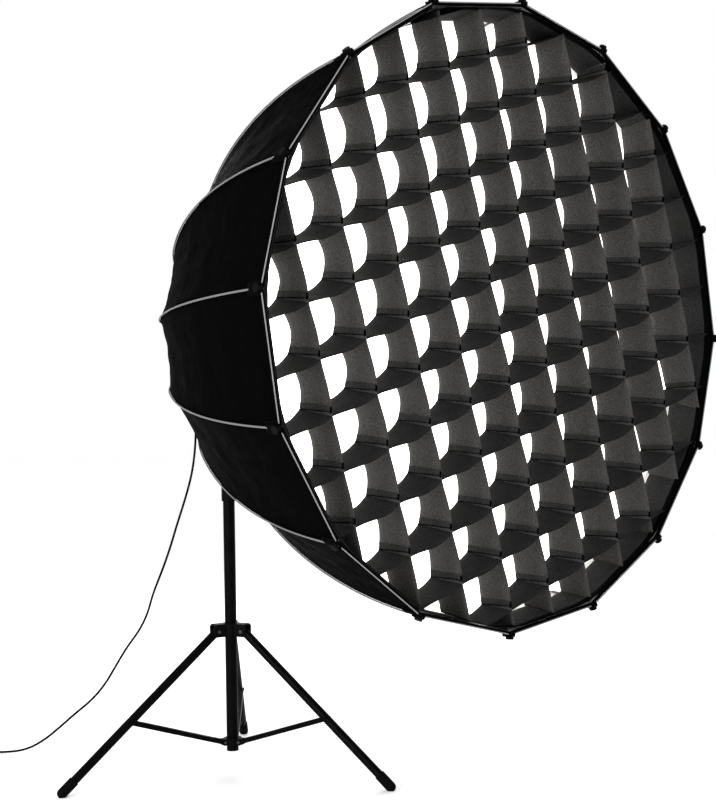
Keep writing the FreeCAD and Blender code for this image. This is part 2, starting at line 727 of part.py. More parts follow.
def clamp_knob(name, screw, tip, face, spot, direction):
    """Lobed hand knob on a screw; tip and face are distances from the column's axis."""
    body = spun(name, [("0", tip), (screw, tip), (screw, face), ("9", face), ("9", f"{face} + 5"),
                       ("13", f"{face} + 7"), ("13", f"{face} + 16"), ("10", f"{face} + 18"),
                       ("0", f"{face} + 18")])
    lobe = body.newObject("PartDesign::AdditiveCylinder", name + "_lobe")
    bind(lobe, Radius="4", Height="9")
    lobe.Placement = FreeCAD.Placement(V(12, 0, size(f"{face} + 7")), turned(Z))
    around(body, [lobe], name + "_lobes", "6")
    body.Placement = FreeCAD.Placement(V(0, 0, size(spot)), turned(Z, direction) * turned(Y, 90))
    return keep(name, body)


def tilt_lock_handle():
    """Ratchet lever on the right-hand pivot stud."""
    start = "yoke_inside + yoke_bar + 3.6"
    hub = rod("handle_hub", "12", "16", (start, "0", "0"), X)
    lever = bar("handle_lever", "9", "12", "78", (f"{start} + 10.5", "0", "-38"))
    grip = rod("handle_grip", "8", "12", (f"{start} + 4", "0", "-72"), X)
    whole = fuse("tilt_lock_handle", hub, lever, grip)
    whole.Placement = LAMP
    return whole


def yoke():
    keep("yoke_bracket", yoke_bracket())
    keep("swivel_receiver", swivel_receiver())
    clamp_knob("receiver_lock_knob", "3.9", "spigot + 1", "31", "tube_three_top + 31", 0)
    keep("tilt_lock_handle", tilt_lock_handle())


# ---------------------------------------------------------------- stand

LEG_TURNS = [size("leg_turn") + 120 * k for k in range(3)]
LEG_RUN = "(foot_reach - collar_reach)"
LEG_DROP = "(collar_height - foot_centre)"
LEG_LENGTH = f"sqrt({LEG_RUN} ^ 2 + {LEG_DROP} ^ 2)"


def column_tube(name, outer, low, top):
    outside = rod(name + "_outside", outer, f"{top} - ({low})", ("0", "0", low))
    inside = rod(name + "_inside", f"{outer} - tube_wall", f"{top} - ({low})", ("0", "0", low))
    return keep(name, cut(name, outside, inside))


def slide_bush(name, outer_tube, inner_tube, low):
    """Thin plastic sleeve around the foot of an inner tube."""
    return keep(name, spun(name, [(f"{inner_tube} + 0.05", low), (f"{outer_tube} - tube_wall - 0.15", low),
                                  (f"{outer_tube} - tube_wall - 0.15", f"{low} + 38"),
                                  (f"{inner_tube} + 0.05", f"{low} + 38")]))


def lock_collar(name, outer_tube, inner_tube, joint, direction):
    """Clamp collar on top of an outer tube, with a drilled boss for its knob."""
    low, top = f"{joint} - 32", f"{joint} + 30"
    sleeve = spun(name + "_sleeve", [(f"{outer_tube} + 0.05", low), (f"{outer_tube} + 4", low),
                                     (f"{outer_tube} + 4", top), (f"{inner_tube} + 0.3", top),
                                     (f"{inner_tube} + 0.3", f"{joint} + 0.2"),
                                     (f"{outer_tube} + 0.05", f"{joint} + 0.2")])
    boss = rod(name + "_boss", "8", f"{outer_tube} + 11 - {inner_tube} - 1",
               (f"{inner_tube} + 1", "0", f"{joint} + 15"), X)
    hole = rod(name + "_hole", "3.7", "40", (inner_tube, "0", f"{joint} + 15"), X)
    bore = rod(name + "_bore", f"{inner_tube} + 0.3", "62", ("0", "0", low))
    whole = cut(name, fuse(name + "_solid", sleeve, cut(name + "_boss_end", boss, bore)), hole)
    whole.Placement = FreeCAD.Placement(V(), turned(Z, direction))
    return keep(name, whole)


def column():
    column_tube("lower_column_tube", "tube_one", "column_foot", "tube_one_top")
    column_tube("middle_column_tube", "tube_two", "column_foot + 40", "tube_two_top")
    column_tube("upper_column_tube", "tube_three", "column_foot + 80", "tube_three_top")
    slide_bush("middle_tube_bush", "tube_one", "tube_two", "column_foot + 41")
    slide_bush("upper_tube_bush", "tube_two", "tube_three", "column_foot + 81")
    lock_collar("lower_lock_collar", "tube_one", "tube_two", "tube_one_top", LEG_TURNS[0])
    lock_collar("middle_lock_collar", "tube_two", "tube_three", "tube_two_top", LEG_TURNS[0])
    clamp_knob("lower_lock_knob", "3.5", "tube_two + 0.6", "tube_one + 13", "tube_one_top + 15",
               LEG_TURNS[0])
    clamp_knob("middle_lock_knob", "3.5", "tube_three + 0.6", "tube_two + 13", "tube_two_top + 15",
               LEG_TURNS[0])
    keep("column_end_plug", spun("column_end_plug", [
        ("0", "column_foot - 8"), ("tube_one", "column_foot - 8"), ("tube_one", "column_foot"),
        ("tube_one - tube_wall - 0.05", "column_foot"), ("tube_one - tube_wall - 0.05", "column_foot + 20"),
        ("0", "column_foot + 20")]))
    neck, top = "tube_three - tube_wall - 0.05", "tube_three_top + 10"
    keep("top_spigot", spun("top_spigot", [
        ("0", "tube_three_top - 24"), (neck, "tube_three_top - 24"), (neck, "tube_three_top"),
        ("tube_three + 1", "tube_three_top"), ("tube_three + 1", top), ("spigot", top),
        ("spigot", f"{top} + 14"), ("spigot - 1.5", f"{top} + 16"), ("spigot - 1.5", f"{top} + 25"),
        ("spigot", f"{top} + 27"), ("spigot", f"{top} + 36"), ("spigot - 1", f"{top} + 38"),
        ("0", f"{top} + 38")]))


def joint_ring(name, reach, height, half, tall, arm, cheek, pin):
    """A ring around the column with three lugs that carry pivots; cheek 0 makes solid lugs."""
    body = new_body(name, loose=True)
    low, top = f"{height} - {tall[0]}", f"{height} + {tall[1]}"
    lug = polygon(sketch_on(body, "XZ_Plane", name + "_lug"), [
        ("tube_one + 5", low), (f"{reach} + {arm} - 6", low), (f"{reach} + {arm}", f"{low} + 6"),
        (f"{reach} + {arm}", f"{top} - 6"), (f"{reach} + {arm} - 6", top), ("tube_one + 5", top)])
    pad(body, lug, name + "_lug_pad", f"2 * ({half})", both_ways=True)
    if cheek:
        cavity = sketch_on(body, "XZ_Plane", name + "_cavity")
        room, outside = "tube_one + 10", f"{reach} + {arm} + 1"
        polygon(cavity, [(room, f"{low} - 1"), (outside, f"{low} - 1"),
                         (outside, f"{top} - {cheek}"), (room, f"{top} - {cheek}")])
        swing = body.newObject("PartDesign::Pocket", name + "_swing_room")
        swing.Profile = cavity
        swing.SideType = "Symmetric"
        bind(swing, Length=f"2 * ({half} - {cheek})")
    holes = circles(sketch_on(body, "XZ_Plane", name + "_pin_holes"), [(reach, height, f"{pin} + 0.05")])
    pocket(body, holes, name + "_drilled")
    repeated(body, name + "_lugs", "3")
    doc.recompute()
    ring = circles(sketch_on(body, "XY_Plane", name + "_ring", low),
                   [("0", "0", "tube_one + 0.3"), ("0", "0", "tube_one + 9")])
    body.Tip = pad(body, ring, name + "_ring_pad", f"{tall[0]} + {tall[1]}")
    body.Placement = FreeCAD.Placement(V(), turned(Z, LEG_TURNS[0]))
    return keep(name, body)


def joint_pins(name, reach, height, pin, half):
    """Three headed pins through a joint ring's lugs."""
    pins = []
    for k, direction in enumerate(LEG_TURNS):
        shank = rod(f"{name}_shank{k}", pin, f"2 * ({half}) + 2.4", ("0", f"-({half}) - 1.2", "0"), Y)
        heads = [rod(f"{name}_head{k}{side}", f"{pin} + 2", "1.6",
                     ("0", f"{half} + 0.1" if side else f"-({half}) - 1.7", "0"), Y) for side in (0, 1)]
        whole = fuse(f"{name}_{k}", shank, *heads)
        turn = turned(Z, direction)
        whole.Placement = FreeCAD.Placement(turn.multVec(V(size(reach), 0, size(height))), turn)
        pins.append(whole)
    return keep(name, group(name, pins))


def leg(number, direction):
    """A round leg from its pivot in the collar to a rubber foot with a flat tread."""
    slope = math.degrees(math.atan2(size(LEG_DROP), size(LEG_RUN)))
    turn = turned(Z, direction)
    spot = FreeCAD.Placement(turn.multVec(V(size("collar_reach"), 0, size("collar_height"))),
                             turn * turned(Y, slope))
    name = f"leg_tube_{number}"
    outside = rod(name + "_outside", "leg_radius", f"{LEG_LENGTH} + 5", ("-13", "0", "0"), X)
    inside = rod(name + "_inside", "leg_radius - tube_wall", f"{LEG_LENGTH} + 5", ("-13", "0", "0"), X)
    pin_hole = rod(name + "_pin_hole", "3.1", "60", ("0", "-30", "0"), Y)
    tube = cut(name, outside, fuse(name + "_holes", inside, pin_hole))
    tube.Placement = spot
    keep(name, tube)
    name = f"leg_foot_{number}"
    boot = rod(name + "_boot", "foot_radius", "46", (f"{LEG_LENGTH} - 46", "0", "0"), X)
    toe = bind(doc.addObject("Part::Sphere", name + "_toe"), Radius="foot_radius")
    place(toe, (LEG_LENGTH, "0", "0"))
    socket = rod(name + "_socket", "leg_radius + 0.05", "60", (f"{LEG_LENGTH} - 67.9", "0", "0"), X)
    rubber = cut(name + "_rubber", fuse(name + "_solid", boot, toe), socket)
    rubber.Placement = spot
    below = box(name + "_below", "1600", "1600", "60", ("-800", "-800", "-60"))
    keep(name, cut(name, rubber, below))


def strut(number, direction):
    """A brace of two flat bars joined by a web, straddling the hub's lug and the leg."""
    slope = math.degrees(math.atan2(size(LEG_DROP), size(LEG_RUN)))
    far = V(size("collar_reach") + size("strut_joint") * math.cos(math.radians(slope)), 0,
            size("collar_height") - size("strut_joint") * math.sin(math.radians(slope)))
    near = V(size("hub_reach"), 0, size("hub_height"))
    span = (far - near).Length
    rise = math.degrees(math.atan2(far.z - near.z, far.x - near.x))
    name = f"strut_{number}"
    pieces = []
    for side, start in (("left", "strut_gap / 2"), ("right", "-strut_gap / 2 - strut_bar")):
        pieces.append(box(f"{name}_{side}", str(span), "strut_bar", "strut_depth",
                          ("0", start, "-strut_depth / 2")))
        pieces += [rod(f"{name}_{side}_eye{k}", "strut_depth / 2", "strut_bar", (str(x), start, "0"), Y)
                   for k, x in enumerate((0, span))]
    for side, start in (("left", "strut_gap / 2 + strut_bar"), ("right", "-strut_gap / 2 - strut_bar - 2")):
        pieces.append(rod(f"{name}_rivet_{side}", "4.5", "2", (str(span), start, "0"), Y))
    pieces.append(bar(name + "_web", "118", "strut_gap", "2", ("91", "0", "strut_depth / 2 - 1")))
    hole = rod(name + "_hole", "2.7", "60", ("0", "-30", "0"), Y)
    whole = cut(name, fuse(name + "_solid", *pieces), hole)
    turn = turned(Z, direction)
    whole.Placement = FreeCAD.Placement(turn.multVec(near), turn * turned(Y, -rise))
    keep(name, whole)


def stand():
    column()
    joint_ring("leg_collar", "collar_reach", "collar_height", "17.2", (16, 22), 15, 3.5, "3")
    joint_pins("leg_pivot_pins", "collar_reach", "collar_height", "3", "17.2")
    joint_ring("strut_hub", "hub_reach", "hub_height", "12.6", (10, 9), 8, 0, "2.5")
    joint_pins("strut_hub_pins", "hub_reach", "hub_height", "2.5", "15.4")
    for number, direction in enumerate(LEG_TURNS, start=1):
        leg(number, direction)
        strut(number, direction)


# ---------------------------------------------------------------- power cord

CORD_ROUTE = [
    (0, 172, 1213.9), (1, 173, 1128), (3, 174, 1044), (2, 178, 962), (-4, 189, 884), (-18, 208, 806),
    (-34, 231, 729), (-48, 251, 655), (-65, 273, 583), (-84, 298, 512), (-93, 314, 452),
    (-110, 337, 398), (-137, 369, 345), (-160, 399, 286), (-181, 428, 229), (-209, 464, 178),
    (-243, 510, 134), (-276, 553, 88), (-308, 596, 46), (-345, 645, 14), (-390, 703, 4),
    (-436, 762, 4), (-470, 824, 4), (-478, 878, 4),
]


CORD_TAIL = [(-527, 911, 4), (-561, 910, 5), (-595, 904, 9), (-628, 894, 12.6)]
COIL_CENTRE = (-524, 871)
COIL_TURNS = (3, 4)


def rounded_path(points):
    """Straight runs joined by arcs, each as large as its two runs allow; also gives the smallest radius."""
    edges, radii = [], []
    start = points[0]
    for before, here, after in zip(points, points[1:], points[2:]):
        come, go = (here - before), (after - here)
        turn_angle = come.getAngle(go)
        trim = 0.45 * min(come.Length, go.Length)
        radii.append(trim / math.tan(turn_angle / 2))
        inward, outward = here - V(come).normalize() * trim, here + V(go).normalize() * trim
        middle_way = (V(go).normalize() - V(come).normalize()).normalize()
        sagitta = radii[-1] * (1 / math.cos(turn_angle / 2) - 1)
        edges += [Part.LineSegment(start, inward).toShape(),
                  Part.Arc(inward, here + middle_way * sagitta, outward).toShape()]
        start = outward
    edges.append(Part.LineSegment(start, points[-1]).toShape())
    return Part.Wire(edges), radii


def tube_along(points, radius):
    """A round tube along a rounded path, checked against its section times its length."""
    path, radii = rounded_path(points)
    heading = points[1] - points[0]
    section = Part.Wire([Part.makeCircle(radius, points[0], heading)])
    tube = path.makePipeShell([section], True, True, 2)
    expected = math.pi * radius ** 2 * path.Length
    print(f"cord: length {path.Length:.0f} mm, volume {tube.Volume / expected:.4f} of section by length,",
          "radii", [round(radius_here) for radius_here in radii])
    return tube, path.Length


def mains_plug(end, heading):
    """Moulded plug with two round pins, lying on the floor."""
    grip = bar("plug_grip", "46", "34", "24", ("23", "0", "0"))
    collar = rod("plug_collar", "6", "10", ("-10", "0", "0"), X)
    pins = [rod(f"plug_pin{side}", "2.4", "19", ("46", f"{side} * 9.5", "0"), X) for side in (-1, 1)]
    plug = fuse("power_cord_plug", grip, collar, *pins)
    turn = turned(Z, math.degrees(math.atan2(heading.y, heading.x)))
    plug.Placement = FreeCAD.Placement(end + turn.multVec(V(10.4, 0, 0)), turn)
    return plug


def power_cord():
    """The lead: a tube to the coil, the neat coil of the rest, a short tail and the mains plug."""
    half = size("cord_dia / 2")
    centre = V(*COIL_CENTRE, 0)
    tubes, lengths = zip(*[tube_along([V(*spot) for spot in route], half)
                           for route in (CORD_ROUTE, CORD_TAIL)])
    cord = doc.addObject("Part::Feature", "power_cord")
    cord.Shape = Part.makeCompound(tubes)
    keep("power_cord", cord)
    across, layers = COIL_TURNS
    reach = f"{across} * cord_dia / 2 + 1"
    outline = [(f"coil_middle {sign} ({reach})", height) for sign, height in
               (("-", "0.5"), ("+", "0.5"), ("+", f"{layers} * cord_dia + 1.5"),
                ("-", f"{layers} * cord_dia + 1.5"))]
    coil = keep("power_cord_coil", spun("power_cord_coil", outline))
    coil.Placement = FreeCAD.Placement(V(centre.x, centre.y, 0), FreeCAD.Rotation())
    end, before = V(*CORD_TAIL[-1]), V(*CORD_TAIL[-2])
    keep("power_cord_plug", mains_plug(end, end - before))
    wound = 2 * math.pi * size("coil_middle") * across * layers
    print(f"cord: whole length {sum(lengths) + wound:.0f} mm")


def finish():
    """Check every object and every sub-part, then write one STEP file for each."""
    doc.recompute()
    failed = [thing.Name for thing in doc.Objects if {"Invalid", "Error"} & set(thing.State)]
    for name, thing in nodes.items():
        shape = thing.Shape
        if shape.isNull() or not shape.isValid() or not shape.Solids:
            failed.append(name)
    if failed:
        raise RuntimeError(f"not sound: {failed}")
    os.makedirs("parts", exist_ok=True)
    for name, thing in nodes.items():
        thing.Shape.exportStep(f"parts/{name}.step")
        print(f"{name}: {len(thing.Shape.Solids)} solids, {thing.Shape.Volume / 1000:.1f} cm3")


softbox()
lamp()
yoke()
stand()
power_cord()
finish()
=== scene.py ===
import math

import bpy
import numpy as np
from mathutils import Matrix, Vector


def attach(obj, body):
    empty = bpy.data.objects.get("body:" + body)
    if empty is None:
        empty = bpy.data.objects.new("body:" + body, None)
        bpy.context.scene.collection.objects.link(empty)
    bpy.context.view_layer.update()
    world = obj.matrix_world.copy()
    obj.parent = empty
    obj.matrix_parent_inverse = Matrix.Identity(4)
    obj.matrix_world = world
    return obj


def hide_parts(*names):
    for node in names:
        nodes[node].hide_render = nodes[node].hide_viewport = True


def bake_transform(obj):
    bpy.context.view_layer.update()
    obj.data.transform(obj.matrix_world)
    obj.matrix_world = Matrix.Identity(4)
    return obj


# A sixteen-sided parabolic softbox with a cloth grid, on its lamp, yoke and folding stand.
# Metres throughout, in the row frame. The softbox is described in its own frame:
# x to the right and y down as seen from the front, d (depth) backwards from the rim.

camera = bpy.data.objects.new("camera", bpy.data.cameras.new("camera"))
bpy.context.scene.collection.objects.link(camera)
bpy.context.scene.camera = camera

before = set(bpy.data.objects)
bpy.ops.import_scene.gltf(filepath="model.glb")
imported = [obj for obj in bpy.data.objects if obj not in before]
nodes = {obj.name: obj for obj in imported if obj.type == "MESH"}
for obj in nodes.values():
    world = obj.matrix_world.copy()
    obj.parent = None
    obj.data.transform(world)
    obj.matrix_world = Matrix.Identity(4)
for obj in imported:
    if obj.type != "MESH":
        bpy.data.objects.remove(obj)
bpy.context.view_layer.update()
rng = np.random.default_rng(7)

SIDES = 16
HALF = math.pi / SIDES
RIM = 0.750
RIM_Y, AXIS_Z = -1.205, 1.286
SHELL_DEPTH = 1.075
SEAM_START = math.radians(3.0)


# ------------------------------------------------------------------ meshes

def to_row(points):
    """Softbox points (x, y, d) to the row frame."""
    points = np.asarray(points, dtype=float)
    return np.stack([points[..., 0], RIM_Y + points[..., 2], AXIS_Z - points[..., 1]], axis=-1)


def new_mesh(name, verts, faces, materials, smooth=True):
    mesh = bpy.data.meshes.new(name)
    mesh.from_pydata([tuple(v) for v in verts], [], faces)
    for material in materials:
        mesh.materials.append(material)
    mesh.polygons.foreach_set("use_smooth", [smooth] * len(mesh.polygons))
    mesh.update()
    piece = bpy.data.objects.new(name, mesh)
    bpy.context.scene.collection.objects.link(piece)
    return piece


def carried(ahead):
    """Directions across a line that turn with it and don't twist."""
    first = np.cross(ahead[0], [0.31, 0.95, 0.0])
    guide = [first / np.linalg.norm(first)]
    for heading in ahead[1:]:
        across = guide[-1] - heading * (guide[-1] @ heading)
        guide.append(across / np.linalg.norm(across))
    return np.array(guide)


class Build:
    """Collects patches into one mesh."""

    def __init__(self):
        self.verts, self.faces = [], []
        self.count = 0

    def grid(self, points, closed_across=False, closed_along=False):
        """A patch of points [along, across, 3]."""
        points = np.asarray(points, dtype=float)
        along, across = points.shape[:2]
        self.verts.append(points.reshape(-1, 3))
        rows = along if closed_along else along - 1
        columns = across if closed_across else across - 1
        for i in range(rows):
            for j in range(columns):
                a, b = i * across + j, i * across + (j + 1) % across
                c, d = ((i + 1) % along) * across + (j + 1) % across, ((i + 1) % along) * across + j
                self.faces.append([self.count + k for k in (a, b, c, d)])
        self.count += along * across

    def face(self, points):
        """A single flat face."""
        self.verts.append(np.asarray(points, dtype=float))
        self.faces.append([self.count + k for k in range(len(points))])
        self.count += len(points)

    def bar(self, centre, half, axes):
        """A small box: half sizes along three axes."""
        centre = np.asarray(centre)
        signs = [(-1, -1, -1), (1, -1, -1), (1, 1, -1), (-1, 1, -1),
                 (-1, -1, 1), (1, -1, 1), (1, 1, 1), (-1, 1, 1)]
        self.verts.append(np.array([centre + sum(s * h * a for s, h, a in zip(sign, half, axes))
                                    for sign in signs]))
        for loop in ((0, 3, 2, 1), (4, 5, 6, 7), (0, 1, 5, 4), (2, 3, 7, 6), (1, 2, 6, 5), (3, 0, 4, 7)):
            self.faces.append([self.count + k for k in loop])
        self.count += len(signs)

    def tube(self, line, radius, sides=8, closed=False, flat=1.0, out=None):
        """A round or flattened tube along a line of points; out gives the flattened direction."""
        line = np.asarray(line, dtype=float)
        ahead = np.roll(line, -1, axis=0) - line if closed else np.gradient(line, axis=0)
        if closed:
            ahead = ahead + (line - np.roll(line, 1, axis=0))
        ahead /= np.linalg.norm(ahead, axis=1)[:, None]
        guide = np.asarray(out) if out is not None else carried(ahead)
        guide = guide - ahead * np.sum(guide * ahead, axis=1)[:, None]
        guide /= np.linalg.norm(guide, axis=1)[:, None]
        side = np.cross(ahead, guide)
        turn = np.arange(sides) * 2 * math.pi / sides
        rings = (line[:, None, :] + radius * (flat * guide[:, None, :] * np.cos(turn)[None, :, None]
                                              + side[:, None, :] * np.sin(turn)[None, :, None]))
        self.grid(rings, closed_across=True, closed_along=closed)
        if not closed:
            self.face(rings[0][::-1])
            self.face(rings[-1])

    def done(self, name, materials, body, stands_for=(), slot=None, smooth=True, thick=0.0):
        """The finished mesh as a piece that rides on a body; a second material goes on its inner face."""
        piece = new_mesh(name, np.concatenate(self.verts), self.faces, materials, smooth)
        if thick:
            solid = piece.modifiers.new("thickness", "SOLIDIFY")
            solid.thickness = thick
            solid.offset = 0
            solid.material_offset = len(materials) - 1
        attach(piece, body)
        if stands_for:
            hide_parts(*stands_for)
        return piece


# ------------------------------------------------------------------ materials

def graph(name):
    """A new material, its node tree, its shader and its object coordinates."""
    material = bpy.data.materials.new(name)
    material.use_nodes = True
    tree = material.node_tree
    shader = tree.nodes["Principled BSDF"]
    place = tree.nodes.new("ShaderNodeTexCoord")
    return material, tree, shader, place.outputs["Object"]


def noise(tree, where, scale, detail=3.0, stretch=None):
    if stretch is not None:
        mapping = tree.nodes.new("ShaderNodeMapping")
        mapping.inputs["Scale"].default_value = stretch
        tree.links.new(where, mapping.inputs["Vector"])
        where = mapping.outputs["Vector"]
    node = tree.nodes.new("ShaderNodeTexNoise")
    node.inputs["Scale"].default_value = scale
    node.inputs["Detail"].default_value = detail
    node.inputs["Roughness"].default_value = 0.55
    tree.links.new(where, node.inputs["Vector"])
    return node.outputs["Fac"]


def ramp(tree, value, low, high):
    """A value turned into a colour between two stops (position, colour)."""
    node = tree.nodes.new("ShaderNodeValToRGB")
    for element, (position, colour) in zip(node.color_ramp.elements, (low, high)):
        element.position, element.color = position, (*colour, 1)
    tree.links.new(value, node.inputs["Fac"])
    return node.outputs["Color"]


def bump(tree, shader, heights):
    """Chains heights (value, strength, distance) into the shader's normal."""
    normal = None
    for value, strength, distance in heights:
        node = tree.nodes.new("ShaderNodeBump")
        node.inputs["Strength"].default_value = strength
        node.inputs["Distance"].default_value = distance
        tree.links.new(value, node.inputs["Height"])
        if normal is not None:
            tree.links.new(normal, node.inputs["Normal"])
        normal = node.outputs["Normal"]
    tree.links.new(normal, shader.inputs["Normal"])


def weave(tree, where, scale):
    """Two crossed waves, as threads."""
    waves = []
    for direction in ("X", "Z"):
        node = tree.nodes.new("ShaderNodeTexWave")
        node.bands_direction = direction
        node.inputs["Scale"].default_value = scale
        node.inputs["Distortion"].default_value = 0.6
        tree.links.new(where, node.inputs["Vector"])
        waves.append(node.outputs["Fac"])
    mix = tree.nodes.new("ShaderNodeMath")
    mix.operation = "MULTIPLY"
    tree.links.new(waves[0], mix.inputs[0])
    tree.links.new(waves[1], mix.inputs[1])
    return mix.outputs[0]


def grey(level, tint=(1.0, 1.0, 1.0)):
    return tuple(level * t for t in tint)


def cloth(name, dark, light, rough, specular, crease=0.5, crease_scale=9.0, speckle=900.0, threads=260.0):
    """Woven cloth: specks between two colours, broad creases and a fine weave."""
    material, tree, shader, where = graph(name)
    tree.links.new(ramp(tree, noise(tree, where, speckle, 2.0), (0.35, dark), (0.68, light)),
                   shader.inputs["Base Color"])
    tree.links.new(ramp(tree, noise(tree, where, 30.0), (0.3, grey(rough - 0.08)), (0.7, grey(rough + 0.08))),
                   shader.inputs["Roughness"])
    shader.inputs["Specular IOR Level"].default_value = specular
    bump(tree, shader, [(noise(tree, where, crease_scale, 4.0), crease, 0.012),
                        (weave(tree, where, threads), 0.25, 0.0004)])
    return material


def hard(name, dark, light, rough, specular=0.5, metallic=0.0, grain=1400.0, depth=0.0002,
         stretch=None, mottle=25.0):
    """A hard surface: mottled colour, uneven gloss and a fine grain, drawn out where it was machined."""
    material, tree, shader, where = graph(name)
    tree.links.new(ramp(tree, noise(tree, where, mottle), (0.3, dark), (0.7, light)),
                   shader.inputs["Base Color"])
    tree.links.new(ramp(tree, noise(tree, where, 60.0, stretch=stretch),
                        (0.3, grey(rough - 0.06)), (0.75, grey(rough + 0.08))),
                   shader.inputs["Roughness"])
    shader.inputs["Specular IOR Level"].default_value = specular
    shader.inputs["Metallic"].default_value = metallic
    bump(tree, shader, [(noise(tree, where, grain, 2.0, stretch=stretch), 0.35, depth)])
    return material


WARM = (1.0, 0.97, 0.94)
nylon = cloth("black_nylon", grey(0.0006), grey(0.0014), 0.55, 0.0008, crease=0.3)
lining = cloth("silver_lining", grey(0.55), grey(0.68), 0.35, 0.6, crease=0.7, crease_scale=14.0)
webbing = cloth("black_webbing", grey(0.0005), grey(0.0012), 0.8, 0.01, crease=0.15, threads=500.0)
grid_cloth = cloth("grid_cloth", grey(0.020, WARM), grey(0.066, WARM), 0.85, 0.03, crease=0.35,
                   crease_scale=16.0, speckle=420.0)
# The grid's own cloth made darker: painted shade for the cross strips' undersides, which face away from the
# light.
cross_cloth_painted_shade = cloth("grid_cross_cloth_painted_shade", grey(0.006), grey(0.020), 0.85, 0.02, crease=0.35, crease_scale=16.0,
                     speckle=420.0)
tab_cloth = cloth("grid_tab_cloth", grey(0.011), grey(0.034), 0.85, 0.03, crease=0.4, crease_scale=40.0,
                  speckle=420.0)
thread = cloth("stitching", grey(0.0006), grey(0.0012), 0.8, 0.0, crease=0.1)
piping_tape = cloth("silver_piping", grey(0.09), grey(0.15), 0.5, 0.1, crease=0.1, speckle=500.0)
pale_cord = cloth("pale_rim_cord", grey(0.15), grey(0.23), 0.6, 0.08, crease=0.1, speckle=500.0)
plastic = hard("black_plastic", grey(0.0015), grey(0.0028), 0.5, 0.02)
paint = hard("black_paint", grey(0.0010), grey(0.0022), 0.4, 0.02, grain=700.0, depth=0.0001)
anodised = hard("black_anodised", grey(0.015), grey(0.02), 0.32, 0.5, metallic=0.6, stretch=(1, 1, 0.05))
steel = hard("plain_steel", grey(0.42), grey(0.55), 0.3, 0.5, metallic=1.0, stretch=(1, 1, 0.1))
rubber = hard("black_rubber", grey(0.0015), grey(0.0028), 0.8, 0.02, grain=900.0, depth=0.0003)
dull_steel = hard("blackened_steel", grey(0.03), grey(0.05), 0.45, 0.2, metallic=0.7)
fibre = hard("fibreglass", grey(0.03), grey(0.05), 0.35, 0.4)
board = hard("circuit_board", (0.02, 0.12, 0.05), (0.03, 0.17, 0.08), 0.4, 0.5, mottle=120.0)
switch_red = hard("switch_red", (0.42, 0.02, 0.015), (0.5, 0.03, 0.02), 0.3, 0.5)
phosphor = hard("light_source", (0.8, 0.62, 0.2), (0.9, 0.72, 0.25), 0.5, 0.4)
glass = hard("dome_glass", grey(0.85), grey(0.95), 0.12, 0.5)
glass.node_tree.nodes["Principled BSDF"].inputs["Transmission Weight"].default_value = 0.9


def glow():
    """White cloth lit from behind, a little uneven."""
    material, tree, shader, where = graph("lit_diffusion")
    shader.inputs["Base Color"].default_value = (0.85, 0.85, 0.84, 1)
    shader.inputs["Roughness"].default_value = 0.9
    tree.links.new(ramp(tree, noise(tree, where, 3.0), (0.3, (0.96, 0.94, 0.91)), (0.7, (1.0, 0.985, 0.96))),
                   shader.inputs["Emission Color"])
    shader.inputs["Emission Strength"].default_value = 3.6
    bump(tree, shader, [(noise(tree, where, 12.0), 0.3, 0.004), (weave(tree, where, 400.0), 0.2, 0.0003)])
    return material


lit_cloth = glow()

CAD_LOOKS = {
    plastic: ("rod_tip_caps lamp_upper_housing lamp_lower_housing lamp_front_flange lamp_rear_panel cooling_fan "
              "dimmer_dial power_inlet mount_release_latch swivel_receiver receiver_lock_knob tilt_lock_handle "
              "middle_tube_bush upper_tube_bush lower_lock_collar middle_lock_collar lower_lock_knob "
              "middle_lock_knob column_end_plug leg_collar strut_hub"),
    paint: ("lower_column_tube middle_column_tube upper_column_tube leg_tube_1 leg_tube_2 leg_tube_3 "
            "strut_1 strut_2 strut_3 yoke_bracket"),
    anodised: "speedring heat_sink",
    steel: "top_spigot tilt_pivot_bosses",
    dull_steel: "leg_pivot_pins strut_hub_pins",
    rubber: "leg_foot_1 leg_foot_2 leg_foot_3 cord_connector power_cord_plug",
    fibre: "spring_rods",
    board: "driver_board",
    switch_red: "power_switch",
    phosphor: "led_module",
    glass: "led_glass_dome",
}
for material, names in CAD_LOOKS.items():
    for name in names.split():
        for place in nodes[name].material_slots:
            place.material = material


# ------------------------------------------------------------------ softbox shell

# The profile is two arcs that meet where they lean equally: these are their radii and leans.
FRONT_ARC, BACK_ARC = 1.887, 0.583
RIM_SLOPE, BEND_SLOPE = math.radians(5.0), math.radians(30.7)
FRONT_MID = (RIM * math.cos(HALF) - FRONT_ARC * math.cos(RIM_SLOPE), -FRONT_ARC * math.sin(RIM_SLOPE))
BACK_MID = (FRONT_MID[0] + (FRONT_ARC - BACK_ARC) * math.cos(BEND_SLOPE),
            FRONT_MID[1] + (FRONT_ARC - BACK_ARC) * math.sin(BEND_SLOPE))
BEND_DEPTH = FRONT_MID[1] + FRONT_ARC * math.sin(BEND_SLOPE)
SHELL_CLOTH = 0.0012
PIPING_START, PIPING_RADIUS = 0.042, 0.0024
POCKET_HALF_WIDTH = 0.016
TIP_REACH, TIP_HALF = 0.7522, (0.0042, 0.0095, 0.0115)
TAPE_SECTION = [(0.7505, 0.004), (0.7508, -0.003), (0.7490, -0.0056), (0.7464, -0.0060), (0.7448, -0.0046),
                (0.7444, -0.0010), (0.7448, 0.0030), (0.7476, 0.0044)]
EDGE_CORD_REACH, EDGE_CORD_DEPTH, EDGE_CORD_RADIUS = 0.7514, -0.0050, 0.0014
DIFFUSER_REACH, DIFFUSER_DEPTH = 0.716, 0.106
BAFFLE_RADIUS, BAFFLE_DEPTH, STRAP_WIDTH = 0.208, 0.6205, 0.019


